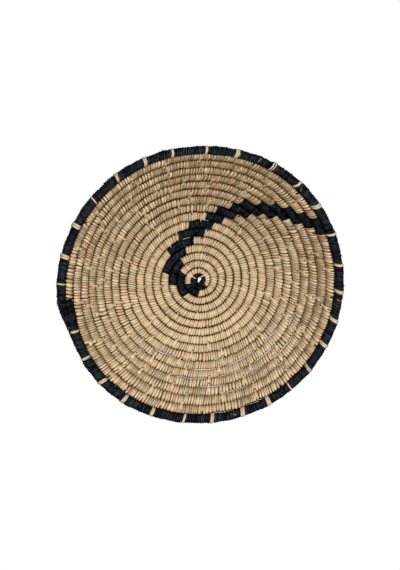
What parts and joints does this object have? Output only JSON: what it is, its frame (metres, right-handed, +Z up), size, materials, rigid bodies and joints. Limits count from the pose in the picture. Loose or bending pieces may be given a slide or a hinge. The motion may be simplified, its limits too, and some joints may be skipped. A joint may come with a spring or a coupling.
{
  "type": "coiled wall plate",
  "caption": "Shallow round wall plate of coiled, strip-wrapped plant fibre, natural with a stepped black spiral and a black rim with pale accents.",
  "frame": {"origin": "middle hole of the plate, in the plane of the wall that the flat base rests on", "axes": "+Z up as the plate hangs, +X to the right seen from the front, +Y into the wall; the dish opens towards -Y"},
  "size_m": [0.3016, 0.0558, 0.296],
  "materials": {
    "natural_fibre": "matt straw-coloured fibre strips wrapped side by side, shade varying from strip to strip",
    "black_fibre": "dyed black fibre strips with a soft low sheen",
    "core_grass": "dry grass bundle, hidden inside the wrapping"
  },
  "bodies": {
    "root": {"core_coil": "core_grass", "centre_black_wrap": "black_fibre", "natural_wrap_01": "natural_fibre", "black_wrap_01": "black_fibre", "natural_wrap_02": "natural_fibre", "black_wrap_02": "black_fibre", "natural_wrap_03": "natural_fibre", "black_wrap_03": "black_fibre", "natural_wrap_04": "natural_fibre", "black_wrap_04": "black_fibre", "natural_wrap_05": "natural_fibre", "black_wrap_05": "black_fibre", "natural_wrap_06": "natural_fibre", "black_wrap_06": "black_fibre", "natural_wrap_07": "natural_fibre", "black_wrap_07": "black_fibre", "natural_wrap_08": "natural_fibre", "black_wrap_08": "black_fibre", "natural_wrap_09": "natural_fibre", "black_wrap_09": "black_fibre", "natural_wrap_10": "natural_fibre", "black_wrap_10": "black_fibre", "natural_wrap_11": "natural_fibre", "black_wrap_11": "black_fibre", "natural_wrap_12": "natural_fibre", "black_wrap_12": "black_fibre", "natural_wrap_13": "natural_fibre", "black_wrap_13": "black_fibre", "natural_wrap_14": "natural_fibre", "black_wrap_14": "black_fibre", "natural_wrap_15": "natural_fibre", "black_wrap_15": "black_fibre", "natural_wrap_16": "natural_fibre", "black_wrap_16": "black_fibre", "natural_wrap_17": "natural_fibre", "rim_black_wrap": "black_fibre"}
  },
  "joints": []
}
